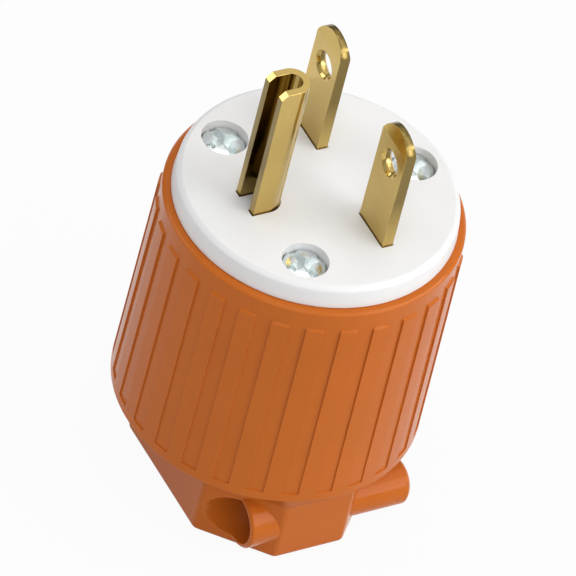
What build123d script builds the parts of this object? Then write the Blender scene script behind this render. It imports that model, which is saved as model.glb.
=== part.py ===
"""Heavy-duty straight-blade plug with two line blades in tandem and a U-shaped ground pin.

Millimetres. The origin is the centre of the cord end, +Z runs out of the mating face, +X runs from the
ground pin towards the line blades, and the plug is symmetric about the XZ plane.
"""

import os
from math import cos, radians, sin, tan

from build123d import *

# Clearances, each side
slip = 0.10
thread_gap = 0.05

# Stations along the axis
neck_length = 13.3
barrel_length = 34.26
plate_proud = 3.24
rim_z = neck_length + barrel_length
face_z = rim_z + plate_proud

# Ribbed barrel of the body
rib_count = 28
rib_radius = 20.13
rib_draft = 0.78
band_length = 2.86
groove_depth = 0.30
groove_end_depth = 0.20
groove_angle = 6.2
rib_end_slope = 0.3
skirt_length = 1.5
barrel_edge_chamfer = 0.25
rim_chamfer = 0.35
chamber_radius = 17.0
chamber_floor = 2.5

rib_top_z = rim_z - band_length
rib_end_z = rib_top_z - rib_end_slope
groove_end_z = neck_length + skirt_length
chamber_floor_z = neck_length + chamber_floor
rib_pitch = 360 / rib_count


def rib_radius_at(z):
    """Radius of the rib tops, which widen downwards by the moulding draft."""
    return rib_radius + (rib_top_z - z) * tan(radians(rib_draft))


band_radius = rib_radius - groove_depth
rim_radius = band_radius - band_length * tan(radians(rib_draft))
skirt_radius = rib_radius_at(neck_length)
groove_end_radius = rib_radius_at(groove_end_z) - groove_end_depth

# Octagonal neck and the cord passage through it
neck_width_x = 26.0
neck_width_y = 35.0
neck_corner_chamfer = 8.0
neck_corner_round = 1.2
neck_end_round = 0.7
flare_length = 3.8
flare_angle = 31.0
flare_ledge = 0.8
passage_width_x = 20.0
passage_width_y = 18.0
passage_corner_round = 3.0
passage_lip_chamfer = 0.4
grip_ridge_height = 0.8
grip_ridge_spacing = 2.6

# Cord clamp: two screws along X push a jaw across the passage
clamp_screw_y = 13.4
clamp_screw_z = 4.8
well_radius = 3.3
well_tube_radius = 3.95
well_tube_reach = 9.3
well_tube_chamfer = 0.3
thread_boss_radius = 3.25
thread_boss_reach = 14.95
thread_boss_chamfer = 0.55
jaw_slot_floor = 0.8
jaw_slot_back = -4.4
jaw_travel = 5.0
jaw_thickness = 4.2
jaw_ear_half_width = 2.9
jaw_bow = 5.1
jaw_groove_width = 0.9
jaw_groove_depth = 0.5

clamp_points = [(-clamp_screw_y, clamp_screw_z), (clamp_screw_y, clamp_screw_z)]
jaw_back = jaw_slot_back + slip
jaw_front = jaw_back + jaw_thickness
jaw_slot_front = jaw_front + jaw_travel
jaw_bottom = jaw_slot_floor + slip
jaw_height = 2 * (clamp_screw_z - jaw_bottom)
jaw_ear_y = clamp_screw_y + jaw_ear_half_width

# Thread-forming pan-head screws, used in the face and in the clamp
screw_shank_radius = 1.45
screw_head_radius = 2.85
screw_head_height = 2.0
screw_head_chamfer = 0.55
screw_tip = 0.8
screw_hole_clearance = 0.2
screw_hole_radius = screw_shank_radius + screw_hole_clearance
screw_slot_width = 0.95
screw_slot_depth = 0.75
recess_length = 4.4
recess_width = 0.85
recess_depth = 1.2
clamp_screw_length = 16.0
face_screw_length = 24.0

# White face plate and its three screws
plate_radius = 18.74
plate_top_radius = 18.42
plate_edge_chamfer = 0.55
spigot_length = 4.0
face_screw_circle = 13.9
face_screw_spread = 125.0
face_well_radius = 3.07
face_well_depth = 2.6
boss_radius = 3.4
boss_hole_extra = 2.0

plate_bottom_z = rim_z - spigot_length
face_screw_angles = (0.0, face_screw_spread, -face_screw_spread)
face_screw_points = [
    (face_screw_circle * cos(radians(a)), face_screw_circle * sin(radians(a))) for a in face_screw_angles
]

# Terminal block behind the plate
block_thickness = 7.5
barrier_depth = 11.0
barrier_thickness = 1.2
barrier_half_width = 13.0
barrier_reach = 9.5

block_bottom_z = plate_bottom_z - block_thickness

# Line blades
blade_x = 3.49
blade_y = 9.12
blade_width = 6.35
blade_thickness = 1.52
blade_length = 17.9
blade_tip_rise = 2.3
blade_tip_thickness = 0.9
blade_hole_height = 12.12
blade_hole_radius = 1.6
blade_hole_chamfer = 0.45
blade_shoulder_width = 9.4
shoulder_height = 3.0
blade_tab_width = 7.6
tab_drop = 11.5

shoulder_z = plate_bottom_z - shoulder_height
tab_end_z = block_bottom_z - tab_drop

# Ground pin, folded from sheet into a U that opens towards -X
pin_sheet = 1.0
pin_width = 4.6
pin_depth = 4.88
pin_crown_x = -6.1
pin_length = 21.2
pin_end_chamfer = 0.85
pin_shoulder_width = 9.0
pin_tab_width = 7.6

# Terminal screws and wire clamp plates
terminal_drop = 5.2
terminal_shank_radius = 2.05
terminal_head_radius = 3.3
terminal_head_height = 2.0
terminal_head_chamfer = 0.4
terminal_slot_width = 0.9
terminal_slot_depth = 1.0
wire_gap = 1.6
clamp_plate_thickness = 1.6
clamp_plate_width = 7.0
clamp_plate_height = 7.4
clamp_plate_groove = 0.35
screw_end = 0.4

terminal_z = block_bottom_z - terminal_drop
barrier_x = (blade_x - blade_thickness / 2 + pin_crown_x) / 2


def neck_section():
    """Octagon of the neck with its corners eased."""
    with BuildSketch() as section:
        Rectangle(neck_width_x, neck_width_y)
        chamfer(section.vertices(), length=neck_corner_chamfer)
        fillet(section.vertices(), radius=neck_corner_round)
    return section.sketch


def pin_section(clearance):
    """U section of the ground pin, grown all round by a clearance."""
    outer = pin_width / 2 + clearance
    inner = pin_width / 2 - pin_sheet - clearance
    bend_x = pin_crown_x - pin_width / 2
    end_x = pin_crown_x - pin_depth - clearance
    with BuildSketch() as section:
        with BuildLine():
            Line((end_x, outer), (bend_x, outer))
            ThreePointArc((bend_x, outer), (bend_x + outer, 0), (bend_x, -outer))
            Polyline((bend_x, -outer), (end_x, -outer), (end_x, -inner), (bend_x, -inner))
            ThreePointArc((bend_x, -inner), (bend_x + inner, 0), (bend_x, inner))
            Polyline((bend_x, inner), (end_x, inner), (end_x, outer))
        make_face()
    return section.sketch


octagon = neck_section()
pin_outline = pin_section(0)
pin_slot = pin_section(slip)

# One groove of the barrel: radial walls and a floor that rises towards its lower end
with BuildPart() as groove:
    with BuildSketch(Plane.XZ):
        with BuildLine():
            Polyline(
                (band_radius, rib_top_z),
                (groove_end_radius, groove_end_z),
                (skirt_radius + groove_depth, groove_end_z),
                (skirt_radius + groove_depth, rib_top_z),
                close=True,
            )
        make_face()
    revolve(axis=Axis.Z, revolution_arc=groove_angle)

# Flared root of the neck, kept within the flat underside of the barrel
with BuildPart() as neck_flare:
    with BuildSketch(Plane.XY.offset(neck_length - flare_length)):
        add(octagon)
    extrude(amount=flare_length, taper=-flare_angle)
    with BuildSketch():
        Circle(skirt_radius - flare_ledge)
    extrude(amount=neck_length, mode=Mode.INTERSECT)

# Round tubes beside the passage: thread bosses towards +X and screw wells towards -X
with BuildPart() as clamp_tubes:
    with BuildSketch(Plane.YZ):
        with Locations(*clamp_points):
            Circle(thread_boss_radius)
    extrude(amount=thread_boss_reach)
    chamfer(clamp_tubes.faces().sort_by(Axis.X)[-2:].edges(), length=thread_boss_chamfer)
    with BuildSketch(Plane.YZ):
        with Locations(*clamp_points):
            Circle(well_tube_radius)
    extrude(amount=-well_tube_reach)
    chamfer(clamp_tubes.faces().sort_by(Axis.X)[:2].edges(), length=well_tube_chamfer)

# Orange body: octagonal neck, screw wells, thread bosses and ribbed barrel in one moulding
with BuildPart() as body_shell:
    with BuildSketch():
        add(octagon)
    extrude(amount=neck_length)
    fillet(body_shell.faces().sort_by(Axis.Z)[0].edges(), radius=neck_end_round)
    add(clamp_tubes.part)
    add(neck_flare.part)

    with BuildSketch(Plane.XZ) as barrel_profile:
        with BuildLine():
            Polyline(
                (0, neck_length),
                (skirt_radius, neck_length),
                (rib_radius_at(rib_end_z), rib_end_z),
                (band_radius, rib_top_z),
                (rim_radius, rim_z),
                (0, rim_z),
                close=True,
            )
        make_face()
        chamfer(barrel_profile.vertices().sort_by(Axis.X)[-1], length=barrel_edge_chamfer)
        chamfer(barrel_profile.vertices().group_by(Axis.Y)[-1].sort_by(Axis.X)[-1], length=rim_chamfer)
    revolve(axis=Axis.Z)
    with PolarLocations(0, rib_count, start_angle=(rib_pitch - groove_angle) / 2):
        add(groove.part, mode=Mode.SUBTRACT)

    with BuildSketch(Plane.XY.offset(chamber_floor_z)):
        Circle(chamber_radius)
    extrude(amount=rim_z - chamber_floor_z, mode=Mode.SUBTRACT)
    with BuildSketch(Plane.XY.offset(chamber_floor_z)):
        with Locations(*face_screw_points):
            Circle(boss_radius)
    extrude(amount=block_bottom_z - chamber_floor_z)
    with Locations(*[(x, y, block_bottom_z) for x, y in face_screw_points]):
        Hole(
            radius=screw_shank_radius + thread_gap,
            depth=face_screw_length + face_well_depth - (face_z - block_bottom_z) + boss_hole_extra,
        )

    with BuildSketch():
        RectangleRounded(passage_width_x, passage_width_y, passage_corner_round)
    extrude(amount=chamber_floor_z, mode=Mode.SUBTRACT)
    cord_mouth = body_shell.faces().sort_by(Axis.Z)[0].inner_wires()[0].edges()
    chamfer(cord_mouth, length=passage_lip_chamfer)
    with BuildSketch(Plane.XY.offset(jaw_slot_floor)):
        with Locations(((jaw_slot_back + jaw_slot_front) / 2, 0)):
            Rectangle(jaw_slot_front - jaw_slot_back, 2 * (jaw_ear_y + slip))
    extrude(amount=chamber_floor_z - jaw_slot_floor, mode=Mode.SUBTRACT)
    with BuildSketch(Plane.YZ.offset(jaw_slot_back)):
        with Locations(*clamp_points):
            Circle(well_radius)
    extrude(amount=-neck_width_x, mode=Mode.SUBTRACT)
    with BuildSketch(Plane.YZ.offset(jaw_slot_front)):
        with Locations(*clamp_points):
            Circle(screw_shank_radius + thread_gap)
    extrude(amount=jaw_back + clamp_screw_length + slip - jaw_slot_front, mode=Mode.SUBTRACT)
    with BuildSketch(Plane.XZ):
        with Locations((passage_width_x / 2, clamp_screw_z)):
            with GridLocations(0, grip_ridge_spacing, 1, 2):
                RegularPolygon(radius=grip_ridge_height, side_count=4)
    extrude(amount=passage_width_y / 2 - passage_corner_round, both=True)

# White face plate with a spigot into the barrel, three screw wells and slots for the contacts
with BuildPart() as face_plate:
    with BuildSketch(Plane.XZ) as plate_profile:
        with BuildLine():
            Polyline(
                (0, plate_bottom_z),
                (chamber_radius - slip, plate_bottom_z),
                (chamber_radius - slip, rim_z),
                (plate_radius, rim_z),
                (plate_top_radius, face_z),
                (0, face_z),
                close=True,
            )
        make_face()
        chamfer(plate_profile.vertices().group_by(Axis.Y)[-1].sort_by(Axis.X)[-1], length=plate_edge_chamfer)
    revolve(axis=Axis.Z)
    with Locations(*[(x, y, face_z) for x, y in face_screw_points]):
        CounterBoreHole(
            radius=screw_hole_radius,
            counter_bore_radius=face_well_radius,
            counter_bore_depth=face_well_depth,
        )
    with BuildSketch(Plane.XY.offset(plate_bottom_z)):
        with Locations((blade_x, blade_y), (blade_x, -blade_y)):
            Rectangle(blade_thickness + 2 * slip, blade_width + 2 * slip)
        add(pin_slot)
    extrude(amount=face_z - plate_bottom_z, mode=Mode.SUBTRACT)

# Terminal block: traps the shoulders of the contacts and parts the three terminals
with BuildPart() as terminal_block:
    with BuildSketch(Plane.XY.offset(block_bottom_z)):
        Circle(chamber_radius - slip)
    extrude(amount=block_thickness)
    with BuildSketch(Plane.XY.offset(block_bottom_z)):
        with Locations((barrier_x, 0)):
            Rectangle(barrier_thickness, 2 * barrier_half_width)
            Rectangle(barrier_reach - barrier_x, barrier_thickness, align=(Align.MIN, Align.CENTER))
    extrude(amount=-barrier_depth)
    with BuildSketch(Plane.XY.offset(shoulder_z)):
        with Locations((blade_x, blade_y), (blade_x, -blade_y)):
            Rectangle(blade_thickness + 2 * slip, blade_shoulder_width + 2 * slip)
        with Locations((pin_crown_x - pin_sheet / 2, 0)):
            Rectangle(pin_sheet + 2 * slip, pin_shoulder_width + 2 * slip)
        add(pin_slot)
    extrude(amount=shoulder_height, mode=Mode.SUBTRACT)
    with BuildSketch(Plane.XY.offset(block_bottom_z)):
        with Locations((blade_x, blade_y), (blade_x, -blade_y)):
            Rectangle(blade_thickness + 2 * slip, blade_tab_width + 2 * slip)
        with Locations((pin_crown_x - pin_sheet / 2, 0)):
            Rectangle(pin_sheet + 2 * slip, pin_tab_width + 2 * slip)
    extrude(amount=block_thickness - shoulder_height, mode=Mode.SUBTRACT)
    with Locations(*[(x, y, plate_bottom_z) for x, y in face_screw_points]):
        Hole(radius=screw_hole_radius, depth=block_thickness)


def line_blade(centre_y):
    """One line blade: rounded and coined tip, cross hole, trapped shoulder and terminal tab."""
    half = blade_width / 2
    shoulder = blade_shoulder_width / 2
    tab = blade_tab_width / 2
    tip_z = face_z + blade_length
    arc_z = tip_z - blade_tip_rise
    with BuildPart() as blade:
        with BuildSketch(Plane.YZ.offset(blade_x)):
            with BuildLine():
                Polyline(
                    (centre_y - half, arc_z),
                    (centre_y - half, plate_bottom_z),
                    (centre_y - shoulder, plate_bottom_z),
                    (centre_y - shoulder, shoulder_z),
                    (centre_y - tab, shoulder_z),
                    (centre_y - tab, tab_end_z),
                    (centre_y + tab, tab_end_z),
                    (centre_y + tab, shoulder_z),
                    (centre_y + shoulder, shoulder_z),
                    (centre_y + shoulder, plate_bottom_z),
                    (centre_y + half, plate_bottom_z),
                    (centre_y + half, arc_z),
                )
                ThreePointArc((centre_y + half, arc_z), (centre_y, tip_z), (centre_y - half, arc_z))
            make_face()
            with Locations((centre_y, terminal_z)):
                Circle(terminal_shank_radius + slip, mode=Mode.SUBTRACT)
        extrude(amount=blade_thickness / 2, both=True)
        with BuildSketch(Plane.XZ):
            with BuildLine():
                Polyline(
                    (blade_x - blade_thickness / 2, tab_end_z),
                    (blade_x + blade_thickness / 2, tab_end_z),
                    (blade_x + blade_thickness / 2, arc_z),
                    (blade_x + blade_tip_thickness / 2, tip_z),
                    (blade_x - blade_tip_thickness / 2, tip_z),
                    (blade_x - blade_thickness / 2, arc_z),
                    close=True,
                )
            make_face()
        extrude(amount=blade_y + blade_shoulder_width, both=True, mode=Mode.INTERSECT)
        with BuildSketch(Plane.YZ.offset(blade_x)):
            with Locations((centre_y, face_z + blade_hole_height)):
                Circle(blade_hole_radius)
        extrude(amount=blade_thickness, both=True, mode=Mode.SUBTRACT)
        hole_edges = blade.edges().filter_by(GeomType.CIRCLE).filter_by(lambda e: e.is_closed)
        chamfer(hole_edges.filter_by(lambda e: e.center().Z > face_z), length=blade_hole_chamfer)
    return blade


line_blade_1 = line_blade(-blade_y)
line_blade_2 = line_blade(blade_y)

# Ground pin: U fold above, shoulder and flat terminal tab below
with BuildPart() as ground_pin:
    with BuildSketch(Plane.XY.offset(shoulder_z)):
        add(pin_outline)
    extrude(amount=face_z + pin_length - shoulder_z)
    leg_ends = ground_pin.edges().group_by(Axis.Z)[-1].filter_by(Axis.Y).sort_by(Axis.X)[:2]
    chamfer(leg_ends, length=pin_end_chamfer)
    with BuildSketch(Plane.YZ.offset(pin_crown_x - pin_sheet)):
        with Locations((0, (shoulder_z + plate_bottom_z) / 2)):
            Rectangle(pin_shoulder_width, shoulder_height)
        with Locations((0, (tab_end_z + shoulder_z) / 2)):
            Rectangle(pin_tab_width, shoulder_z - tab_end_z)
        with Locations((0, terminal_z)):
            Circle(terminal_shank_radius + slip, mode=Mode.SUBTRACT)
    extrude(amount=pin_sheet)


def terminal_screws(seat, points, contact_thickness):
    """Slotted binding-head screws, headed on a seat plane that faces away from the wire."""
    length = contact_thickness + wire_gap + clamp_plate_thickness + screw_end
    with BuildPart() as screws:
        with BuildSketch(seat):
            with Locations(*points):
                Circle(terminal_head_radius)
        extrude(amount=terminal_head_height)
        crowns = screws.faces().sort_by(Axis(seat.origin, seat.z_dir))[-len(points):]
        chamfer(crowns.edges(), length=terminal_head_chamfer)
        with BuildSketch(seat.offset(terminal_head_height)):
            with Locations(*points):
                Rectangle(2 * terminal_head_radius, terminal_slot_width)
        extrude(amount=-terminal_slot_depth, mode=Mode.SUBTRACT)
        with BuildSketch(seat):
            with Locations(*points):
                Circle(terminal_shank_radius)
        extrude(amount=-length)
    return screws


def clamp_plate(grip_face, point):
    """Wire clamp plate threaded on a terminal screw, with gripping grooves towards the contact."""
    with BuildPart() as plate:
        with BuildSketch(grip_face):
            with Locations(point):
                Rectangle(clamp_plate_width, clamp_plate_height)
                Circle(terminal_shank_radius + thread_gap, mode=Mode.SUBTRACT)
        extrude(amount=-clamp_plate_thickness)
        with BuildSketch(grip_face):
            for side in (-1, 1):
                with Locations((point[0] + side * clamp_plate_width / 3, point[1])):
                    Rectangle(clamp_plate_groove, clamp_plate_height)
        extrude(amount=-clamp_plate_groove, mode=Mode.SUBTRACT)
    return plate


def facing_back(x):
    """Plane at a given X that faces -X, with its second axis up."""
    return Plane(origin=(x, 0, 0), x_dir=(0, -1, 0), z_dir=(-1, 0, 0))


line_points = [(-blade_y, terminal_z), (blade_y, terminal_z)]
line_terminal_screws = terminal_screws(
    Plane.YZ.offset(blade_x + blade_thickness / 2), line_points, blade_thickness
)
line_grip_face = Plane.YZ.offset(blade_x - blade_thickness / 2 - wire_gap)
line_clamp_plate_1 = clamp_plate(line_grip_face, line_points[0])
line_clamp_plate_2 = clamp_plate(line_grip_face, line_points[1])

ground_terminal_screw = terminal_screws(facing_back(pin_crown_x - pin_sheet), [(0, terminal_z)], pin_sheet)
ground_clamp_plate = clamp_plate(facing_back(pin_crown_x + wire_gap), (0, terminal_z))

# Cord clamp jaw: a bowed bar whose two ears ride in the slot across the neck
jaw_arch_y = passage_width_y / 2 - slip
with BuildPart() as cord_clamp_jaw:
    with BuildSketch(Plane.XY.offset(jaw_bottom)):
        with BuildLine():
            Polyline(
                (jaw_front, jaw_arch_y),
                (jaw_front, jaw_ear_y),
                (jaw_back, jaw_ear_y),
                (jaw_back, jaw_arch_y),
            )
            ThreePointArc((jaw_back, jaw_arch_y), (jaw_back - jaw_bow, 0), (jaw_back, -jaw_arch_y))
            Polyline(
                (jaw_back, -jaw_arch_y),
                (jaw_back, -jaw_ear_y),
                (jaw_front, -jaw_ear_y),
                (jaw_front, -jaw_arch_y),
            )
            ThreePointArc((jaw_front, -jaw_arch_y), (jaw_front - jaw_bow, 0), (jaw_front, jaw_arch_y))
        make_face()
    extrude(amount=jaw_height)
    with BuildSketch(Plane.YZ.offset(jaw_back)):
        with Locations(*clamp_points):
            Circle(screw_hole_radius)
    extrude(amount=jaw_thickness, mode=Mode.SUBTRACT)
    for height in (jaw_height / 4, jaw_height * 3 / 4):
        with BuildSketch(Plane.XY.offset(jaw_bottom + height - jaw_groove_width / 2)):
            with BuildLine():
                ThreePointArc((jaw_front, -jaw_arch_y), (jaw_front - jaw_bow, 0), (jaw_front, jaw_arch_y))
                ThreePointArc(
                    (jaw_front, jaw_arch_y),
                    (jaw_front - jaw_bow - jaw_groove_depth, 0),
                    (jaw_front, -jaw_arch_y),
                )
            make_face()
        extrude(amount=jaw_groove_width, mode=Mode.SUBTRACT)


def pan_screws(seat, points, length):
    """Thread-forming pan-head screws with a slot and a cross recess, headed on a seat plane."""
    with BuildPart() as screws:
        with BuildSketch(seat):
            with Locations(*points):
                Circle(screw_head_radius)
        extrude(amount=screw_head_height)
        crowns = screws.faces().sort_by(Axis(seat.origin, seat.z_dir))[-len(points):]
        chamfer(crowns.edges(), length=screw_head_chamfer)
        with BuildSketch(seat):
            with Locations(*points):
                Circle(screw_shank_radius)
        extrude(amount=-length)
        tips = screws.faces().sort_by(Axis(seat.origin, seat.z_dir))[:len(points)]
        chamfer(tips.edges(), length=screw_tip)
        with BuildSketch(seat.offset(screw_head_height)):
            with Locations(*points):
                Rectangle(2 * screw_head_radius, screw_slot_width)
        extrude(amount=-screw_slot_depth, mode=Mode.SUBTRACT)
        with BuildSketch(seat.offset(screw_head_height)):
            with Locations(*points):
                Rectangle(recess_length, recess_width)
                Rectangle(recess_width, recess_length)
        extrude(amount=-recess_depth, mode=Mode.SUBTRACT)
    return screws


face_screws = pan_screws(Plane.XY.offset(face_z - face_well_depth), face_screw_points, face_screw_length)
clamp_screws = pan_screws(facing_back(jaw_back), clamp_points, clamp_screw_length)

pieces = {
    "body_shell": body_shell,
    "face_plate": face_plate,
    "terminal_block": terminal_block,
    "line_blade_1": line_blade_1,
    "line_blade_2": line_blade_2,
    "ground_pin": ground_pin,
    "line_terminal_screws": line_terminal_screws,
    "ground_terminal_screw": ground_terminal_screw,
    "line_clamp_plate_1": line_clamp_plate_1,
    "line_clamp_plate_2": line_clamp_plate_2,
    "ground_clamp_plate": ground_clamp_plate,
    "cord_clamp_jaw": cord_clamp_jaw,
    "clamp_screws": clamp_screws,
    "face_screws": face_screws,
}

os.makedirs("parts", exist_ok=True)
for name, piece in pieces.items():
    piece.part.label = name
    export_step(piece.part, f"parts/{name}.step")
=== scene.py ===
"""Looks of a heavy-duty plug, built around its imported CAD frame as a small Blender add-on."""

from collections import namedtuple
from math import pi, radians

import bmesh
import bpy
from bpy.props import FloatProperty, FloatVectorProperty, IntProperty, PointerProperty
from mathutils import Matrix, Quaternion, Vector


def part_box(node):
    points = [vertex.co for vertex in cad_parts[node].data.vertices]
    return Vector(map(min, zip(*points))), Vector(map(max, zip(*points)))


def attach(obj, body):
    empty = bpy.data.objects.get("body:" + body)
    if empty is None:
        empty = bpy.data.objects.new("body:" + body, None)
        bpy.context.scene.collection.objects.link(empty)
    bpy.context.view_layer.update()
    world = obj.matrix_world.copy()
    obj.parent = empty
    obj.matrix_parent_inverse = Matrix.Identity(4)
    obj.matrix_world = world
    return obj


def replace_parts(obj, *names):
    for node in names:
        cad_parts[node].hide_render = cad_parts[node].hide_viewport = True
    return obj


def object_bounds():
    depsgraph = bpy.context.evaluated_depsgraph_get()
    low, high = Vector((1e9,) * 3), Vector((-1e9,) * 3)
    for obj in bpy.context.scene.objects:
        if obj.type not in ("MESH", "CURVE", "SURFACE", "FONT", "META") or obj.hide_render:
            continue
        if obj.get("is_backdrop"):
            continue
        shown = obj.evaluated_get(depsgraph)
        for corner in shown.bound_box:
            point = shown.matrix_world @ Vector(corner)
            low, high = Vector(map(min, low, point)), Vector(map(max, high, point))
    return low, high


bl_info = {
    "name": "Heavy-duty Plug",
    "version": (1, 0, 0),
    "blender": (4, 5, 0),
    "location": "View3D > Sidebar > Plug",
    "description": "Dresses the CAD frame of a heavy-duty plug with rounded edges, screws and finishes",
    "category": "Object",
}

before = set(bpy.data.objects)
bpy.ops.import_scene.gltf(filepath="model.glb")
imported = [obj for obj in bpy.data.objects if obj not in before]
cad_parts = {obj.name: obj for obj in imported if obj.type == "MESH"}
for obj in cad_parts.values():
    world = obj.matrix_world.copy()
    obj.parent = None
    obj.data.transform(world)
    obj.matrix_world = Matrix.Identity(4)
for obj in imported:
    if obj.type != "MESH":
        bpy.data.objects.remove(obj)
cad_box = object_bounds()

BODY = "root"
MM = 0.001
WELD = 0.002 * MM
CREASE = radians(28)
FLAT_TURN = radians(0.3)
ROUND_STEPS = 3


def colour_setting(name, description, default):
    """A colour that a user would change."""
    return FloatVectorProperty(
        name=name, description=description, subtype="COLOR", min=0, max=1, default=default
    )


def share_setting(name, description, default):
    """A share from 0 to 1, such as a roughness."""
    return FloatProperty(
        name=name, description=description, subtype="FACTOR", min=0, max=1, default=default
    )


def length_setting(name, description, default):
    """A length in metres."""
    return FloatProperty(
        name=name, description=description, subtype="DISTANCE", unit="LENGTH", default=default
    )


def power_setting(name, description, default):
    """The power of a lamp in watts."""
    return FloatProperty(
        name=name, description=description, subtype="POWER", unit="POWER", default=default
    )


class PlugBodyLook(bpy.types.PropertyGroup):
    """Finish of the moulded body."""

    colour: colour_setting("Body colour", "Colour of the body moulding", (0.535, 0.132, 0.0145))
    roughness: share_setting("Body roughness", "Roughness of the moulded skin", 0.20)
    shine: share_setting("Body shine", "Specular level of the body moulding", 0.13)
    edge: length_setting("Edge round", "Width of the rounding along the moulding's edges", 0.05 * MM)
    rim_round: length_setting("Rim round", "Width of the rounding at the rim of the barrel", 0.06 * MM)
    boss_round: length_setting(
        "Boss round", "Width of the rounding at the ends of the thread bosses", 0.16 * MM
    )


class PlugFaceLook(bpy.types.PropertyGroup):
    """Finish of the face plate."""

    colour: colour_setting("Plate colour", "Colour of the face plate", (0.80, 0.80, 0.80))
    roughness: share_setting("Plate roughness", "Roughness of the face plate", 0.35)
    shine: share_setting("Plate shine", "Specular level of the face plate", 0.12)
    edge: length_setting("Edge round", "Width of the rounding along the plate's edges", 0.10 * MM)
    outer_round: length_setting(
        "Outer round", "Width of the rounding along the plate's outer edge", 0.20 * MM
    )


class PlugContactLook(bpy.types.PropertyGroup):
    """Finish of the brass contacts."""

    colour: colour_setting("Brass colour", "Colour of the rolled brass", (0.60, 0.43, 0.14))
    roughness: share_setting("Brass roughness", "Roughness of the rolled brass", 0.15)
    edge: length_setting("Edge round", "Width of the rounding along the cut edges", 0.05 * MM)
    fold: length_setting(
        "Fold round", "Width of the rounding where the coined tip meets the flat of a blade", 0.03 * MM
    )


class PlugScrewLook(bpy.types.PropertyGroup):
    """Finish and sizes of the pan-head screws."""

    colour: colour_setting("Screw colour", "Colour of the zinc plating", (0.78, 0.83, 0.83))
    roughness: share_setting("Screw roughness", "Roughness of the zinc plating", 0.22)
    turn: FloatProperty(
        name="Turn",
        description="Turn of the recess about the axis of the screw",
        subtype="ANGLE",
        unit="ROTATION",
        default=radians(8),
    )
    head_radius: length_setting("Head radius", "Radius of the pan head", 2.85 * MM)
    head_height: length_setting("Head height", "Height of the pan head above its seat", 2.0 * MM)
    crown_drop: length_setting(
        "Crown drop", "How far the crown falls from the middle to the edge of the head", 0.65 * MM
    )
    shank_radius: length_setting("Shank radius", "Outside radius of the thread", 1.45 * MM)
    thread_pitch: length_setting("Thread pitch", "Distance between two turns of the thread", 1.2 * MM)
    thread_depth: length_setting("Thread depth", "Depth of the thread", 0.35 * MM)
    slot_width: length_setting("Slot width", "Width of the two slots of the recess", 1.15 * MM)
    slot_depth: length_setting("Slot depth", "Depth of the slots at the edge of the head", 0.90 * MM)
    cross_depth: length_setting(
        "Cross depth", "Depth of the recess in the middle of the head", 1.45 * MM
    )
    sides: IntProperty(
        name="Sides", description="Sides of the head and the shank", min=12, default=40
    )


class PlugStageLook(bpy.types.PropertyGroup):
    """Floor, light and camera."""

    floor_radius: length_setting("Floor radius", "Radius of the pale floor", 6.0)
    key_power: power_setting("Key power", "Power of the tall soft light on the right", 1.7)
    over_power: power_setting("Upper power", "Power of the long strip over the camera", 3.5)
    front_power: power_setting("Front power", "Power of the tall strip at the front", 1.2)
    right_power: power_setting("Right power", "Power of the sloping strip on the right", 3.0)
    left_power: power_setting("Left power", "Power of the sloping strip on the left", 0.9)
    fill_power: power_setting("Fill power", "Power of the broad soft light behind the camera", 3.3)
    back_power: power_setting("Back power", "Power of the high light behind", 0.12)
    top_power: power_setting("Top power", "Power of the soft light overhead", 1.0)
    sky_top: FloatProperty(
        name="Sky overhead", description="Strength of the even light overhead", default=0.85
    )
    sky_front: FloatProperty(
        name="Sky at the front",
        description="Strength of the even light at the front of the horizon",
        default=0.38,
    )
    sky_back: FloatProperty(
        name="Sky at the back",
        description="Strength of the even light at the back of the horizon",
        default=0.15,
    )
    lens: FloatProperty(
        name="Lens",
        description="Focal length of the camera",
        subtype="DISTANCE_CAMERA",
        unit="CAMERA",
        default=623.1,
    )


class PlugLook(bpy.types.PropertyGroup):
    """All settings of the plug."""

    body: PointerProperty(type=PlugBodyLook)
    face: PointerProperty(type=PlugFaceLook)
    contacts: PointerProperty(type=PlugContactLook)
    screws: PointerProperty(type=PlugScrewLook)
    stage: PointerProperty(type=PlugStageLook)


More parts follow.
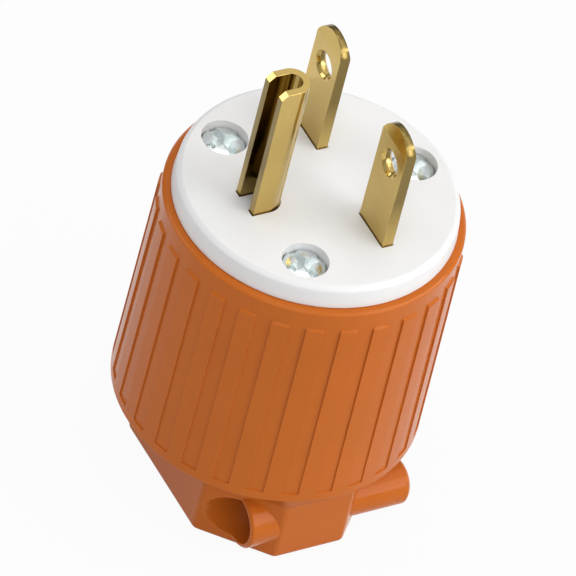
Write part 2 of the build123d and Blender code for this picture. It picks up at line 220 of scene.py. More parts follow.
class Finish:
    """A new node material with short calls for its nodes and links."""

    noise_low = 0.3
    noise_high = 0.7

    def __init__(self, name):
        self.material = bpy.data.materials.new(name)
        self.material.use_nodes = True
        self.nodes = self.material.node_tree.nodes
        self.links = self.material.node_tree.links
        self.shader = self.nodes["Principled BSDF"]
        self.coords = self.nodes.new("ShaderNodeTexCoord").outputs["Object"]

    def link(self, source, target):
        self.links.new(source, target)

    def stretched(self, scale):
        """Object coordinates with each axis scaled, for grain that runs one way."""
        node = self.nodes.new("ShaderNodeMapping")
        node.inputs["Scale"].default_value = scale
        self.link(self.coords, node.inputs["Vector"])
        return node.outputs["Vector"]

    def noise(self, scale, detail, vector=None):
        node = self.nodes.new("ShaderNodeTexNoise")
        node.inputs["Scale"].default_value = scale
        node.inputs["Detail"].default_value = detail
        self.link(vector or self.coords, node.inputs["Vector"])
        return node.outputs["Fac"]

    def ranged(self, value, start, end, low, high):
        """Map the range from start to end to the one from low to high."""
        node = self.nodes.new("ShaderNodeMapRange")
        node.inputs["From Min"].default_value = start
        node.inputs["From Max"].default_value = end
        node.inputs["To Min"].default_value = low
        node.inputs["To Max"].default_value = high
        self.link(value, node.inputs["Value"])
        return node.outputs["Result"]

    def uneven(self, value, middle, less, more):
        """A number that a noise value moves between two multiples of it."""
        return self.ranged(value, self.noise_low, self.noise_high, middle * less, middle * more)

    def mottled(self, value, colour, less, more):
        """A colour that a noise value moves between two tints of it."""
        share = self.ranged(value, self.noise_low, self.noise_high, 0, 1)
        return self.blend(share, tinted(colour, less), tinted(colour, more))

    def blend(self, value, first, second):
        """Colour or number between two others, each a plain value or a node's output."""
        node = self.nodes.new("ShaderNodeMix")
        plain = [end for end in (first, second) if not isinstance(end, bpy.types.NodeSocket)]
        kind = "FLOAT" if any(isinstance(end, float) for end in plain) else "RGBA"
        node.data_type = kind
        sockets = {socket.name: socket for socket in node.inputs if socket.enabled}
        for name, end in (("A", first), ("B", second)):
            if isinstance(end, bpy.types.NodeSocket):
                self.link(end, sockets[name])
            else:
                sockets[name].default_value = end if kind == "FLOAT" else (*end, 1)
        self.link(value, sockets["Factor"])
        return next(socket for socket in node.outputs if socket.enabled)

    def along_z(self, low, high):
        """0 at one height, 1 at another and a straight rise between them."""
        parts = self.nodes.new("ShaderNodeSeparateXYZ")
        self.link(self.coords, parts.inputs[0])
        return self.ranged(parts.outputs["Z"], low, high, 0, 1)

    def mark(self, name):
        """A mark that the mesh holds on its faces, 0 where it holds none."""
        node = self.nodes.new("ShaderNodeAttribute")
        node.attribute_name = name
        return node.outputs["Fac"]

    def bump(self, height, distance, strength):
        node = self.nodes.new("ShaderNodeBump")
        node.inputs["Strength"].default_value = strength
        node.inputs["Distance"].default_value = distance
        self.link(height, node.inputs["Height"])
        self.link(node.outputs["Normal"], self.shader.inputs["Normal"])


def tinted(colour, gain):
    """A colour made darker or lighter."""
    return tuple(min(1.0, c * gain) for c in colour)


def moulded_finish(name, colour, roughness, shine):
    """Moulded plastic: faint cloudy colour, a fine mould texture and uneven gloss."""
    plastic_ior = 1.5
    finish = Finish(name)
    sockets = finish.shader.inputs
    cloud = finish.noise(scale=90, detail=4)
    finish.link(finish.mottled(cloud, colour, less=0.97, more=1.03), sockets["Base Color"])
    gloss = finish.noise(scale=420, detail=3)
    finish.link(finish.uneven(gloss, roughness, less=0.85, more=1.15), sockets["Roughness"])
    sockets["IOR"].default_value = plastic_ior
    sockets["Specular IOR Level"].default_value = shine
    finish.bump(finish.noise(scale=2600, detail=2), distance=0.02 * MM, strength=0.05)
    return finish.material


def rolled_finish(name, colour, roughness, foot):
    """Rolled and blanked metal: streaks along its length, and marked faces with painted shade.

    Faces of the first mark are rougher and darken upwards from a foot: painted shade in place of darker
    reflections. Faces marked inside are darker all over: painted shade inside the fold.
    """
    # Painted shade: marked faces darken to this share of the brass colour over this rise above the foot,
    # in place of darker reflections.
    painted_shade_rise = 8 * MM
    painted_shade_gain = 0.40
    # Painted shade: faces inside the pin's fold take this share of the brass colour.
    inner_painted_shade_gain = 0.65
    sheared_roughness = 0.22
    finish = Finish(name)
    sockets = finish.shader.inputs
    rough_and_painted_shade = finish.mark("rough_and_painted_shade")
    streaks = finish.noise(scale=700, detail=4, vector=finish.stretched((1, 1, 0.04)))
    cloud = finish.noise(scale=160, detail=3)
    flat = finish.mottled(cloud, colour, less=0.94, more=1.06)
    # Painted shade, darker upwards from the foot, on the marked faces.
    painted_shade = finish.blend(finish.along_z(foot, foot + painted_shade_rise), colour, tinted(colour, painted_shade_gain))
    with_painted_shade = finish.blend(rough_and_painted_shade, flat, painted_shade)
    # Painted shade on the faces marked inside.
    shaded = finish.blend(finish.mark("inside"), with_painted_shade, tinted(colour, inner_painted_shade_gain))
    finish.link(shaded, sockets["Base Color"])
    gloss = finish.uneven(streaks, roughness, less=0.75, more=1.3)
    finish.link(finish.blend(rough_and_painted_shade, gloss, sheared_roughness), sockets["Roughness"])
    sockets["Metallic"].default_value = 1.0
    finish.bump(streaks, distance=0.01 * MM, strength=0.08)
    return finish.material


def plated_finish(name, colour, roughness):
    """Plated metal: fine mottling of colour and gloss."""
    finish = Finish(name)
    sockets = finish.shader.inputs
    mottle = finish.noise(scale=900, detail=4)
    finish.link(finish.mottled(mottle, colour, less=0.95, more=1.05), sockets["Base Color"])
    finish.link(finish.uneven(mottle, roughness, less=0.8, more=1.2), sockets["Roughness"])
    sockets["Metallic"].default_value = 1.0
    finish.bump(finish.noise(scale=3200, detail=2), distance=0.008 * MM, strength=0.02)
    return finish.material


def add_piece(name, mesh, material):
    """Link a finished mesh as a piece of the plug."""
    piece = bpy.data.objects.new(name, mesh)
    bpy.context.scene.collection.objects.link(piece)
    mesh.materials.clear()
    mesh.materials.append(material)
    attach(piece, BODY)
    return piece


def dress(node, material):
    """Give its finish to a CAD node that keeps its mesh."""
    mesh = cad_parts[node].data
    mesh.materials.clear()
    mesh.materials.append(material)


def evaluated_mesh(piece):
    """Mesh of an object with its modifiers applied."""
    graph = bpy.context.evaluated_depsgraph_get()
    return bpy.data.meshes.new_from_object(piece.evaluated_get(graph))


Round = namedtuple("Round", "width angle wanted")


def welded_cage(node):
    """A CAD node's triangles, welded into one mesh for editing."""
    cage = bmesh.new()
    cage.from_mesh(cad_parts[node].data)
    bmesh.ops.remove_doubles(cage, verts=cage.verts, dist=WELD)
    return cage


def runs_along_y(line):
    """Whether an edge runs mostly along y."""
    most = 0.9
    first, second = (vert.co for vert in line.verts)
    return abs(second.y - first.y) > most * (second - first).length


def edge_width(line, rounds):
    """Width of the first round that wants an edge, or 0 where none does."""
    turn = line.calc_face_angle(0)
    for each in rounds:
        if turn > each.angle and each.wanted(line):
            return each.width
    return 0


def snap_cut(cage, points, reach):
    """Move the points of a cut to corners within reach along their own edges, so that no edge is short."""
    corners = {}
    for point in points:
        near = [
            line
            for line in point.link_edges
            if line.calc_length() < reach and line.other_vert(point) not in points
        ]
        if near:
            corners[point] = min(near, key=lambda line: line.calc_length()).other_vert(point)
    bmesh.ops.weld_verts(cage, targetmap=corners)


def eased_mesh(node, name, rounds, cuts, snap=0):
    """Copy of a CAD node's mesh with its triangles merged and its edges rounded.

    Each round has a width, the least turn of the edges that it takes and a test of an edge. Each cut is
    a value of y where faces are parted, so that none has a hole, and snaps to corners that are near.
    """
    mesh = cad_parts[node].data.copy()
    cage = welded_cage(node)
    for y in cuts:
        everything = cage.verts[:] + cage.edges[:] + cage.faces[:]
        cut = bmesh.ops.bisect_plane(
            cage, geom=everything, dist=WELD / 2, plane_co=(0, y, 0), plane_no=(0, 1, 0)
        )
        for part in cut["geom_cut"]:
            if isinstance(part, bmesh.types.BMEdge):
                part.seam = True
        snap_cut(cage, {part for part in cut["geom_cut"] if isinstance(part, bmesh.types.BMVert)}, snap)
    bmesh.ops.dissolve_limit(
        cage, angle_limit=FLAT_TURN, verts=cage.verts, edges=cage.edges, delimit={"SEAM"}
    )
    widest = max(each.width for each in rounds)
    weight = cage.edges.layers.float.new("bevel_weight_edge")
    for line in cage.edges:
        line[weight] = edge_width(line, rounds) / widest
    cage.to_mesh(mesh)
    cage.free()
    mesh.shade_smooth()
    carrier = bpy.data.objects.new(name + "_carrier", mesh)
    bpy.context.scene.collection.objects.link(carrier)
    bevel = carrier.modifiers.new("Edges", "BEVEL")
    bevel.width = widest
    bevel.segments = ROUND_STEPS
    bevel.limit_method = "WEIGHT"
    bevel.use_clamp_overlap = False
    bevel.loop_slide = False
    flat = carrier.modifiers.new("Flat faces", "WEIGHTED_NORMAL")
    flat.mode = "FACE_AREA"
    split = carrier.modifiers.new("Triangles", "TRIANGULATE")
    split.ngon_method = "CLIP"
    split.keep_custom_normals = True
    result = evaluated_mesh(carrier)
    bpy.data.objects.remove(carrier)
    bpy.data.meshes.remove(mesh)
    result.name = name
    return result


def mark_faces(mesh, name, test):
    """Store 1 on the faces that pass a test of their normal and centre, and 0 on the rest."""
    mark = mesh.attributes.new(name, "FLOAT", "FACE")
    for face in mesh.polygons:
        mark.data[face.index].value = float(test(face.normal, face.center))


def middle_y(node):
    """The y halfway across a CAD node."""
    low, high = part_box(node)
    return (low[1] + high[1]) / 2


class Term:
    """A value in a node tree that can be added, multiplied and so on, like a number."""

    def __init__(self, tree, socket):
        self.tree = tree
        self.socket = socket

    def math(self, operation, *others):
        node = self.tree.add("ShaderNodeMath", self, *others, operation=operation)
        return Term(self.tree, node.outputs[0])

    def ranged(self, start, end, low, high):
        """Map the range from start to end to the one from low to high."""
        node = self.tree.add("ShaderNodeMapRange", self, start, end, low, high)
        return Term(self.tree, node.outputs[0])

    def __add__(self, other):
        return self.math("ADD", other)

    def __sub__(self, other):
        return self.math("SUBTRACT", other)

    def __rsub__(self, other):
        return (self * -1.0) + other

    def __mul__(self, other):
        return self.math("MULTIPLY", other)

    def __truediv__(self, other):
        return self.math("DIVIDE", other)

    def __pow__(self, other):
        return self.math("POWER", other)


class ShapeTree:
    """A new Geometry Nodes tree with named size inputs."""

    def __init__(self, name):
        self.group = bpy.data.node_groups.new(name, "GeometryNodeTree")
        self.group.is_modifier = True
        self.group.interface.new_socket(name="Geometry", in_out="INPUT", socket_type="NodeSocketGeometry")
        self.group.interface.new_socket(name="Geometry", in_out="OUTPUT", socket_type="NodeSocketGeometry")
        self.source = self.group.nodes.new("NodeGroupInput")
        self.keys = {}

    def size(self, name, kind="NodeSocketFloat"):
        """A named input, as a term."""
        item = self.group.interface.new_socket(name=name, in_out="INPUT", socket_type=kind)
        self.keys[name] = item.identifier
        return Term(self, self.source.outputs[name])

    def add(self, kind, *values, **settings):
        """A node with its settings made and its inputs linked or set in order; None skips one."""
        node = self.group.nodes.new(kind)
        for key, value in settings.items():
            setattr(node, key, value)
        for socket, value in zip(node.inputs, values):
            self.feed(socket, value)
        return node

    def feed(self, socket, value):
        if isinstance(value, Term):
            self.group.links.new(value.socket, socket)
        elif isinstance(value, bpy.types.Node):
            self.group.links.new(value.outputs[0], socket)
        elif isinstance(value, bpy.types.NodeSocket):
            self.group.links.new(value, socket)
        elif value is not None:
            socket.default_value = value

    def vector(self, x, y, z):
        return self.add("ShaderNodeCombineXYZ", x, y, z)

    def place(self):
        """The x, y and z of each point."""
        parts = self.add("ShaderNodeSeparateXYZ", self.add("GeometryNodeInputPosition"))
        return [Term(self, out) for out in parts.outputs]

    def shaped(self, mesh, x, y, z):
        """A mesh with its points moved to new coordinates."""
        return self.add("GeometryNodeSetPosition", mesh, None, self.vector(x, y, z))

    def joined(self, *meshes):
        node = self.add("GeometryNodeJoinGeometry")
        for mesh in meshes:
            self.feed(node.inputs[0], mesh)
        return node

    def finish(self, mesh, material):
        """Realize the mesh, give it its material and send it out."""
        solid = self.add("GeometryNodeRealizeInstances", mesh)
        painted = self.add("GeometryNodeSetMaterial", solid, None, material)
        self.group.links.new(painted.outputs[0], self.group.nodes.new("NodeGroupOutput").inputs[0])


def screw_tree():
    """Tree for pan-head screws: crowned head, crossed slots that deepen inwards, and a threaded shank."""
    tree = ShapeTree("pan_head_screws")
    head_radius = tree.size("Head Radius")
    head_height = tree.size("Head Height")
    crown_drop = tree.size("Crown Drop")
    shank_radius = tree.size("Shank Radius")
    shank_length = tree.size("Shank Length")
    pitch = tree.size("Thread Pitch")
    thread_depth = tree.size("Thread Depth")
    slot_width = tree.size("Slot Width")
    slot_depth = tree.size("Slot Depth")
    cross_depth = tree.size("Cross Depth")
    sides = tree.size("Sides", "NodeSocketInt")
    material = tree.size("Material", "NodeSocketMaterial")

    seam = 0.004 * MM
    tiny = 1e-4

    crown_rings = 12
    crown_power = 2.6
    blank = tree.add(
        "GeometryNodeMeshCylinder",
        sides,
        1,
        crown_rings,
        head_radius,
        head_height,
        fill_type="TRIANGLE_FAN",
    )
    x, y, z = tree.place()
    reach = (x * x + y * y).math("SQRT") / head_radius
    spread = (reach * (pi / 2)).math("SINE") / reach.math("MAXIMUM", tiny)
    rim = spread * reach
    crown = (1.0 - (rim**crown_power).math("MINIMUM", 1.0)).math("SQRT")
    upper = z.math("GREATER_THAN", 0.0)
    top = (head_height - crown_drop) + crown_drop * crown
    head = tree.shaped(blank, x * spread, y * spread, upper * top)

    bar_length = head_radius * 2.1
    second_deeper = 0.06 * MM

    def cutter(turn, deeper):
        """A bar across the head whose bottom falls from both ends to the middle."""
        bar = tree.add("GeometryNodeMeshCube", tree.vector(1.0, 1.0, 1.0), 3, 2, 2)
        bx, by, bz = tree.place()
        low = bz.math("LESS_THAN", 0.0)
        outward = bx.math("ABSOLUTE") * 2.0
        fall = cross_depth + (slot_depth - cross_depth) * outward + deeper
        height = head_height + crown_drop - low * (fall + crown_drop)
        cut = tree.shaped(bar, bx * bar_length, by * slot_width, height)
        return tree.add("GeometryNodeTransform", cut, None, (0, 0, turn))

    blocked = tree.add("GeometryNodeTriangulate", head)
    slotted = tree.add("GeometryNodeMeshBoolean", blocked, operation="DIFFERENCE", solver="EXACT")
    for turn, deeper in ((0.0, 0.0), (pi / 2, second_deeper)):
        tree.feed(slotted.inputs["Mesh 2"], tree.add("GeometryNodeTriangulate", cutter(turn, deeper)))
    sealed_head = tree.add("GeometryNodeMergeByDistance", slotted, None, seam)
    cut_head = tree.add("GeometryNodeTriangulate", sealed_head, ngon_method="CLIP")

    rings_per_turn = 6.0
    lead_start, lead_end = 0.02, 0.10
    tip_start, tip_end = 0.88, 0.995
    tip_power = 0.6
    buried = 0.3 * MM
    rings = (shank_length / pitch * rings_per_turn).math("ROUND")
    sheet = tree.add("GeometryNodeMeshGrid", 1.0, 1.0, sides + 1.0, rings)
    u, v, _ = tree.place()
    around_shank = (u + 0.5) * (2 * pi)
    along = v + 0.5
    phase = (along * shank_length / pitch + u).math("FRACT")
    ridge = 1.0 - (phase * 2.0 - 1.0).math("ABSOLUTE")
    lead = along.ranged(lead_start, lead_end, 0.0, 1.0)
    tip = along.ranged(tip_start, tip_end, 1.0, 0.0) ** tip_power
    radius = (shank_radius - thread_depth + thread_depth * (ridge * lead)) * tip
    radius = radius * along.math("GREATER_THAN", tiny)
    height = buried - along * (shank_length + buried)
    rolled = tree.shaped(
        sheet, radius * around_shank.math("COSINE"), radius * around_shank.math("SINE"), height
    )
    sealed = tree.add("GeometryNodeMergeByDistance", rolled, None, seam)
    shank = tree.add("GeometryNodeFlipFaces", sealed)

    aim = tree.add("GeometryNodeInputNamedAttribute", "aim", data_type="FLOAT_VECTOR")
    facing = tree.add("FunctionNodeAlignRotationToVector", None, None, aim, axis="Z")
    spin = tree.add("GeometryNodeInputNamedAttribute", "turn", data_type="FLOAT")
    around = tree.add("FunctionNodeAxisAngleToRotation", (0, 0, 1), spin)
    turned = tree.add("FunctionNodeRotateRotation", facing, around, rotation_space="LOCAL")
    screws = tree.add("GeometryNodeInstanceOnPoints", tree.source.outputs["Geometry"])
    tree.feed(screws.inputs["Instance"], tree.joined(cut_head, shank))
    tree.feed(screws.inputs["Rotation"], turned)
    tree.finish(screws, material)
    return tree


def islands(cage):
    """The places of the points of each connected part of a mesh, one part after another."""
    loose = set(cage.verts)
    for first in cage.verts:
        if first not in loose:
            continue
        loose.remove(first)
        patch = [first]
        island = []
        while patch:
            vert = patch.pop()
            island.append(vert.co.copy())
            for edge in vert.link_edges:
                other = edge.other_vert(vert)
                if other in loose:
                    loose.remove(other)
                    patch.append(other)
        yield island


def screw_seats(node, aim, head_height):
    """Seat points under the heads of a CAD node's screws, and the length of their shanks."""
    cage = welded_cage(node)
    seats = []
    for island in islands(cage):
        low = Vector([min(co[axis] for co in island) for axis in range(3)])
        high = Vector([max(co[axis] for co in island) for axis in range(3)])
        reach = abs((high - low).dot(aim))
        middle = (low + high) / 2
        seats.append(middle + aim * (reach / 2 - head_height))
        length = reach - head_height
    cage.free()
    return seats, length


def screw_set(name, tree, sizes, seats, aim, turn):
    """Plain mesh of screws headed on their seats, from the screw tree."""
    crease = radians(32)
    mesh = bpy.data.meshes.new(name + "_seats")
    mesh.from_pydata(seats, [], [])
    mesh.attributes.new("aim", "FLOAT_VECTOR", "POINT")
    mesh.attributes.new("turn", "FLOAT", "POINT")
    for index in range(len(seats)):
        mesh.attributes["aim"].data[index].vector = aim
        mesh.attributes["turn"].data[index].value = turn
    carrier = bpy.data.objects.new(name + "_carrier", mesh)
    bpy.context.scene.collection.objects.link(carrier)
    maker = carrier.modifiers.new("Screws", "NODES")
    maker.node_group = tree.group
    for key, value in sizes.items():
        maker[tree.keys[key]] = value
    result = evaluated_mesh(carrier)
    bpy.data.objects.remove(carrier)
    bpy.data.meshes.remove(mesh)
    result.name = name
    result.shade_smooth()
    result.set_sharp_from_angle(angle=crease)
    return result


class PLUG_OT_body(bpy.types.Operator):
    """Round the edges of the body moulding and give it its finish"""

    bl_idname = "plug.body"
    bl_label = "Body"

    neck_top = 13.3 * MM
    boss_end = 14.0 * MM
    rim_band = 0.6 * MM
    root_band = 0.2 * MM
    chamber_reach = 17.2 * MM

    def execute(self, context):
        look = context.scene.plug_look.body
        skin = moulded_finish("body_nylon", look.colour, look.roughness, look.shine)
        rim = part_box("body_shell")[1][2] - self.rim_band
        rounds = (
            Round(look.rim_round, CREASE, lambda line: line.verts[0].co.z > rim),
            Round(look.boss_round, CREASE, self.ends_a_boss),
            Round(look.edge, CREASE, self.has_room),
        )
        screw_rows = [seat.y for seat in screw_seats("clamp_screws", Vector((-1, 0, 0)), 0)[0]]
        mesh = eased_mesh("body_shell", "ribbed_body", rounds, (0, *screw_rows))
        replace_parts(add_piece("ribbed_body", mesh, skin), "body_shell")
        dress("cord_clamp_jaw", skin)
        return {"FINISHED"}

    def ends_a_boss(self, line):
        """Whether an edge lies at the closed end of a thread boss."""
        return all(vert.co.x > self.boss_end and vert.co.z < self.neck_top for vert in line.verts)

    def has_room(self, line):
        """Whether an edge is away from the narrow faces under the barrel and in its closed chamber."""
        under = all(abs(vert.co.z - self.neck_top) < self.root_band for vert in line.verts)
        within = all(
            vert.co.z > self.neck_top and vert.co.xy.length < self.chamber_reach for vert in line.verts
        )
        return not under and not within


class PLUG_OT_face_plate(bpy.types.Operator):
    """Round the edges of the face plate and give it its finish"""

    bl_idname = "plug.face_plate"
    bl_label = "Face plate"

    outer_band = 1.2 * MM
    snap = 0.35 * MM

    def execute(self, context):
        look = context.scene.plug_look.face
        skin = moulded_finish("plate_nylon", look.colour, look.roughness, look.shine)
        low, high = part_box("face_plate")
        middle = (low[2] + high[2]) / 2
        outer = high[0] - self.outer_band

        def rims_the_face(line):
            return all(vert.co.z > middle and vert.co.xy.length > outer for vert in line.verts)

        rounds = (
            Round(look.outer_round, CREASE, rims_the_face),
            Round(look.edge, CREASE, lambda line: True),
        )
        screw_rows = [seat.y for seat in screw_seats("face_screws", Vector((0, 0, 1)), 0)[0]]
        blade_rows = [middle_y(node) for node in ("line_blade_1", "line_blade_2")]
        cuts = sorted({*screw_rows, *blade_rows})
        mesh = eased_mesh("face_plate", "front_plate", rounds, cuts, self.snap)
        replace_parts(add_piece("front_plate", mesh, skin), "face_plate")
        return {"FINISHED"}


class PLUG_OT_contacts(bpy.types.Operator):
    """Round the edges of the blades and the ground pin and give them their finish"""

    bl_idname = "plug.contacts"
    bl_label = "Contacts"

    crease = radians(30)
    fold_crease = radians(4)
    arch_start = 14.3 * MM
    leg_depth = 1.0 * MM
    wall = 1.2 * MM
    square_on = 0.85
    half_turned = 0.5
    little_turned = 0.3
    level = 0.35
    inner_nodes = (
        "line_terminal_screws",
        "line_clamp_plate_1",
        "line_clamp_plate_2",
        "ground_clamp_plate",
    )

    def execute(self, context):
        look = context.scene.plug_look.contacts
        plate_low, plate_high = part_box("face_plate")
        seat = plate_low[2]
        foot = plate_high[2]
        brass = rolled_finish("rolled_brass", look.colour, look.roughness, foot)

        def shows(line):
            return any(vert.co.z > seat for vert in line.verts)

        rounds = (
            Round(look.edge, self.crease, shows),
            Round(look.fold, self.fold_crease, lambda line: shows(line) and runs_along_y(line)),
        )
        for node in ("line_blade_1", "line_blade_2", "ground_pin"):
            name = node + "_eased"
            mesh = eased_mesh(node, name, rounds, (middle_y(node),))
            if node == "ground_pin":
                self.mark_pin(mesh)
            else:
                self.mark_blade(mesh, foot)
            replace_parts(add_piece(name, mesh, brass), node)
        for node in self.inner_nodes:
            dress(node, brass)
        return {"FINISHED"}

    def mark_blade(self, mesh, foot):
        """Mark the cut sides of a blade and the arch of its tip, for more roughness and painted shade."""
        arch = foot + self.arch_start

        # Painted shade on the cut sides and the arch, in place of darker reflections.
        def takes_painted_shade(normal, centre):
            on_the_arch = centre.z > arch and abs(normal.x) < self.half_turned
            return abs(normal.y) > self.square_on or on_the_arch

        mark_faces(mesh, "rough_and_painted_shade", takes_painted_shade)

    def mark_pin(self, mesh):
        """Mark the cut ends of the legs for more roughness and painted shade, and the inside of the fold
        for painted shade.
        """
        open_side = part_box("ground_pin")[0][0]
        leg_end = open_side + self.leg_depth
        fold_start = open_side + self.wall

        # Painted shade on the cut ends of the legs.
        def takes_painted_shade(normal, centre):
            return normal.x < -self.square_on and centre.x < leg_end

        # Painted shade on the faces inside the fold.
        def takes_inner_painted_shade(normal, centre):
            in_a_leg = normal.y * centre.y < 0 and abs(normal.y) > self.half_turned
            in_the_fold = normal.x < -self.little_turned and centre.x > fold_start
            return normal.z < self.level and (in_a_leg or in_the_fold)

        mark_faces(mesh, "rough_and_painted_shade", takes_painted_shade)
        mark_faces(mesh, "inside", takes_inner_painted_shade)


class PLUG_OT_screws(bpy.types.Operator):
    """Make the pan-head screws of the face plate and the cord clamp"""

    bl_idname = "plug.screws"
    bl_label = "Screws"

    def execute(self, context):
        look = context.scene.plug_look.screws
        tree = screw_tree()
        zinc = plated_finish("zinc_plate", look.colour, look.roughness)
        sizes = {
            "Head Radius": look.head_radius,
            "Head Height": look.head_height,
            "Crown Drop": look.crown_drop,
            "Shank Radius": look.shank_radius,
            "Thread Pitch": look.thread_pitch,
            "Thread Depth": look.thread_depth,
            "Slot Width": look.slot_width,
            "Slot Depth": look.slot_depth,
            "Cross Depth": look.cross_depth,
            "Sides": look.sides,
            "Material": zinc,
        }
        self.make(tree, sizes, "face_screws", "face_pan_screws", (0, 0, 1), look)
        self.make(tree, sizes, "clamp_screws", "clamp_pan_screws", (-1, 0, 0), look)
        return {"FINISHED"}

    def make(self, tree, sizes, node, name, aim, look):
        """Screws in the places of a CAD node's screws, which all point along one axis."""
        aim = Vector(aim)
        seats, length = screw_seats(node, aim, look.head_height)
        mesh = screw_set(name, tree, {**sizes, "Shank Length": length}, seats, aim, look.turn)
        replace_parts(add_piece(name, mesh, sizes["Material"]), node)


class PLUG_OT_inner(bpy.types.Operator):
    """Finish the terminal block and the ground screw inside the body"""

    bl_idname = "plug.inner"
    bl_label = "Inner pieces"

    block_colour = (0.02, 0.02, 0.022)
    block_roughness = 0.5
    block_shine = 0.3
    ground_colour = (0.06, 0.22, 0.09)
    ground_roughness = 0.3

    def execute(self, context):
        nylon = moulded_finish("block_nylon", self.block_colour, self.block_roughness, self.block_shine)
        dress("terminal_block", nylon)
        green = plated_finish("green_passivate", self.ground_colour, self.ground_roughness)
        dress("ground_terminal_screw", green)
        return {"FINISHED"}


Lamp = namedtuple("Lamp", "name place size roll power")


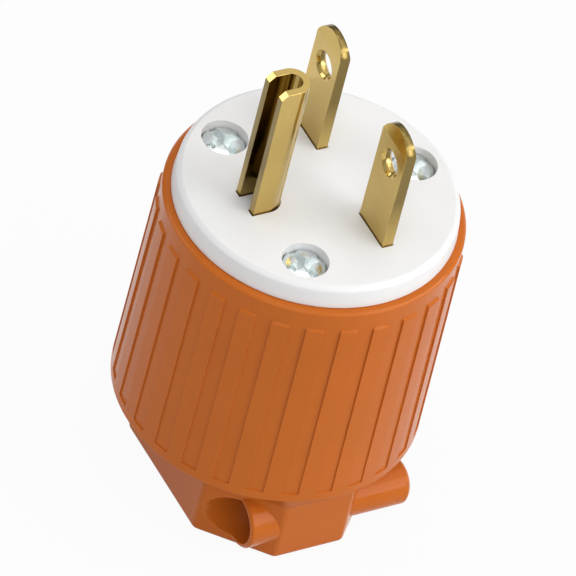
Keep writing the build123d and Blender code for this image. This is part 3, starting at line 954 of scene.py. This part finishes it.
class PLUG_OT_stage(bpy.types.Operator):
    """Lay the pale floor, hang the soft lights and set the camera"""

    bl_idname = "plug.stage"
    bl_label = "Stage"

    target = Vector((0, 0, 0.035))
    floor_gap = 0.02 * MM
    floor_sides = 96
    floor_shade = (0.62, 0.62, 0.62, 1)
    floor_glow = 0.94
    sensor_width = 36.0
    view_depth = 100
    camera_place = Vector((-0.56738, -0.72630, 0.92729))
    camera_right = Vector((0.8724, -0.4523, 0.1853))
    camera_back = Vector((-0.4412, -0.5654, 0.6969))

    def execute(self, context):
        look = context.scene.plug_look.stage
        scene = context.scene
        scene.view_settings.view_transform = "Standard"
        self.lay_floor(look)
        self.light_world(scene, look)
        for lamp in (
            Lamp("key", (0.441, -0.585, 0.715), (0.30, 1.50), radians(-28), look.key_power),
            Lamp("over", (0.41, -1.18, 1.03), (1.30, 0.35), 0, look.over_power),
            Lamp("front", (0.44, -0.86, 0.34), (0.20, 0.48), 0, look.front_power),
            Lamp("right", (0.94, -0.56, 0.52), (0.80, 0.14), radians(-27), look.right_power),
            Lamp("left", (-0.65, 0.62, 0.46), (0.56, 0.18), radians(27), look.left_power),
            Lamp("fill", (-0.66, -0.85, 1.08), (0.90, 0.90), 0, look.fill_power),
            Lamp("back", (0.44, 0.57, 0.74), (0.34, 0.34), 0, look.back_power),
            Lamp("top", (0.16, 0.22, 1.08), (0.45, 0.45), 0, look.top_power),
        ):
            self.hang(lamp)
        self.set_camera(scene, look)
        return {"FINISHED"}

    def seen_rays(self, nodes, links):
        """1 for rays from the camera, mirrors and glass, 0 for light that only bounces."""
        path = nodes.new("ShaderNodeLightPath")
        seen = path.outputs["Is Camera Ray"]
        for ray in ("Is Glossy Ray", "Is Transmission Ray"):
            larger = nodes.new("ShaderNodeMath")
            larger.operation = "MAXIMUM"
            links.new(seen, larger.inputs[0])
            links.new(path.outputs[ray], larger.inputs[1])
            seen = larger.outputs[0]
        return seen

    def lay_floor(self, look):
        """Lay a pale floor that looks near white and still holds the plug's shadow."""
        mesh = bpy.data.meshes.new("floor")
        cage = bmesh.new()
        under = Matrix.Translation((0, 0, -self.floor_gap))
        bmesh.ops.create_circle(
            cage, cap_ends=True, radius=look.floor_radius, segments=self.floor_sides, matrix=under
        )
        cage.to_mesh(mesh)
        cage.free()
        floor = bpy.data.objects.new("floor", mesh)
        bpy.context.scene.collection.objects.link(floor)
        paint = bpy.data.materials.new("floor_paint")
        paint.use_nodes = True
        nodes = paint.node_tree.nodes
        links = paint.node_tree.links
        nodes.clear()
        matt = nodes.new("ShaderNodeBsdfDiffuse")
        matt.inputs["Color"].default_value = self.floor_shade
        white = nodes.new("ShaderNodeEmission")
        share = nodes.new("ShaderNodeMath")
        share.operation = "MULTIPLY"
        share.inputs[1].default_value = self.floor_glow
        links.new(self.seen_rays(nodes, links), share.inputs[0])
        mix = nodes.new("ShaderNodeMixShader")
        links.new(share.outputs[0], mix.inputs["Fac"])
        links.new(matt.outputs[0], mix.inputs[1])
        links.new(white.outputs[0], mix.inputs[2])
        out = nodes.new("ShaderNodeOutputMaterial")
        links.new(mix.outputs[0], out.inputs["Surface"])
        mesh.materials.append(paint)
        floor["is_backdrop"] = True

    def light_world(self, scene, look):
        """Even light that is strongest overhead and falls towards the back of the horizon."""
        world = bpy.data.worlds.new("studio")
        scene.world = world
        world.use_nodes = True
        nodes = world.node_tree.nodes
        links = world.node_tree.links
        way = nodes.new("ShaderNodeSeparateXYZ")
        links.new(nodes.new("ShaderNodeTexCoord").outputs["Generated"], way.inputs[0])
        horizon = nodes.new("ShaderNodeMapRange")
        horizon.inputs["From Min"].default_value = -1
        horizon.inputs["To Min"].default_value = look.sky_front
        horizon.inputs["To Max"].default_value = look.sky_back
        links.new(way.outputs["Y"], horizon.inputs["Value"])
        rise = nodes.new("ShaderNodeMapRange")
        rise.inputs["To Max"].default_value = look.sky_top
        links.new(horizon.outputs["Result"], rise.inputs["To Min"])
        links.new(way.outputs["Z"], rise.inputs["Value"])
        light = nodes["Background"]
        light.inputs["Color"].default_value = (1, 1, 1, 1)
        links.new(rise.outputs["Result"], light.inputs["Strength"])

    def hang(self, lamp):
        """Hang a lamp that faces the plug, rolled about the way that it faces."""
        data = bpy.data.lights.new(lamp.name, "AREA")
        data.shape = "RECTANGLE"
        data.size, data.size_y = lamp.size
        data.energy = lamp.power
        light = bpy.data.objects.new(lamp.name, data)
        aim = self.target - Vector(lamp.place)
        turn = aim.to_track_quat("-Z", "Y") @ Quaternion((0, 0, 1), lamp.roll)
        light.matrix_world = Matrix.LocRotScale(Vector(lamp.place), turn, None)
        bpy.context.scene.collection.objects.link(light)

    def set_camera(self, scene, look):
        """Set the camera at its place, from the ways of its right and its back."""
        data = bpy.data.cameras.new("camera")
        data.lens = look.lens
        data.sensor_width = self.sensor_width
        data.clip_end = self.view_depth
        camera = bpy.data.objects.new("camera", data)
        right = self.camera_right.normalized()
        back = self.camera_back.normalized()
        up = back.cross(right)
        place = Matrix((right, up, back)).transposed().to_4x4()
        place.translation = self.camera_place
        camera.matrix_world = place
        bpy.context.scene.collection.objects.link(camera)
        scene.camera = camera


class PLUG_PT_panel(bpy.types.Panel):
    """Sidebar list of the plug's pieces"""

    bl_idname = "PLUG_PT_panel"
    bl_label = "Plug"
    bl_space_type = "VIEW_3D"
    bl_region_type = "UI"
    bl_category = "Plug"

    def draw(self, context):
        for step in STEPS:
            self.layout.operator(step.bl_idname)


STEPS = (
    PLUG_OT_body,
    PLUG_OT_face_plate,
    PLUG_OT_contacts,
    PLUG_OT_screws,
    PLUG_OT_inner,
    PLUG_OT_stage,
)

CLASSES = (
    PlugBodyLook,
    PlugFaceLook,
    PlugContactLook,
    PlugScrewLook,
    PlugStageLook,
    PlugLook,
    *STEPS,
    PLUG_PT_panel,
)


def register():
    for cls in CLASSES:
        bpy.utils.register_class(cls)
    bpy.types.Scene.plug_look = PointerProperty(type=PlugLook)


def unregister():
    del bpy.types.Scene.plug_look
    for cls in reversed(CLASSES):
        bpy.utils.unregister_class(cls)


def main():
    register()
    bpy.ops.plug.body()
    bpy.ops.plug.face_plate()
    bpy.ops.plug.contacts()
    bpy.ops.plug.screws()
    bpy.ops.plug.inner()
    bpy.ops.plug.stage()
    boxes = {"cad": cad_box, "visual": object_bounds()}
    {name: [list(corner) for corner in box] for name, box in boxes.items()}


if __name__ == "__main__":
    main()
